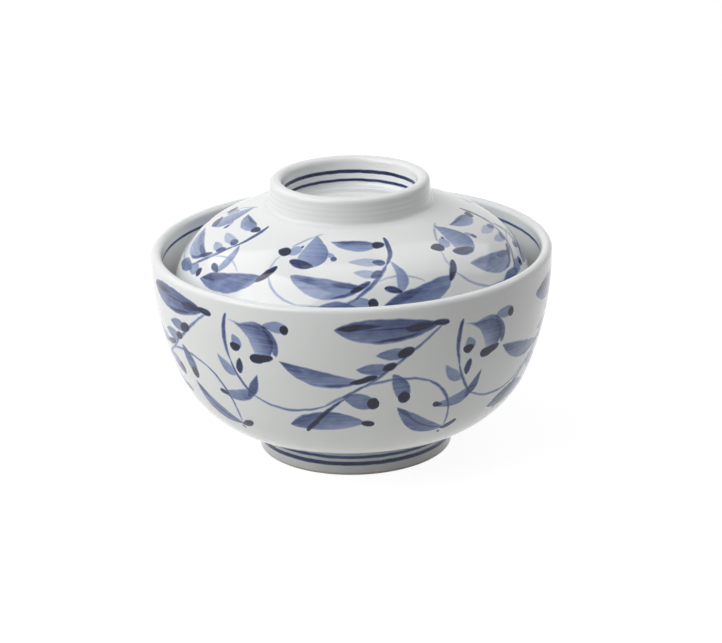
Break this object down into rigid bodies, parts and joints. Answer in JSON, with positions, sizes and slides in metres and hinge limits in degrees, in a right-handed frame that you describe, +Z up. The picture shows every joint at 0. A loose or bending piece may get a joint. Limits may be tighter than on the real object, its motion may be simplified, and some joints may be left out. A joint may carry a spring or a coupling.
{
  "type": "lidded rice bowl",
  "caption": "Round porcelain rice bowl on a foot ring, with a domed lift-off lid that has a ring knob and rests inside the rim; blue brushed vine pattern on white glaze.",
  "frame": {"origin": "centre of the foot ring's underside, where the bowl stands", "axes": "+Z up, along the axis that bowl and lid share; +X to the right and +Y away in the usual view"},
  "size_m": [0.1552, 0.1552, 0.1087],
  "materials": {
    "bowl_porcelain": "clear gloss glaze over white porcelain, cobalt blue brushwork under the glaze",
    "lid_porcelain": "clear gloss glaze over white porcelain, cobalt blue brushwork under the glaze"
  },
  "bodies": {
    "bowl": {"bowl": "bowl_porcelain"},
    "lid": {"lid": "lid_porcelain"}
  },
  "joints": [
    {"name": "lid_lift", "type": "slide", "parent": "bowl", "child": "lid", "axis": [0, 0, 1], "range_m": [0, 0.08]}
  ]
}
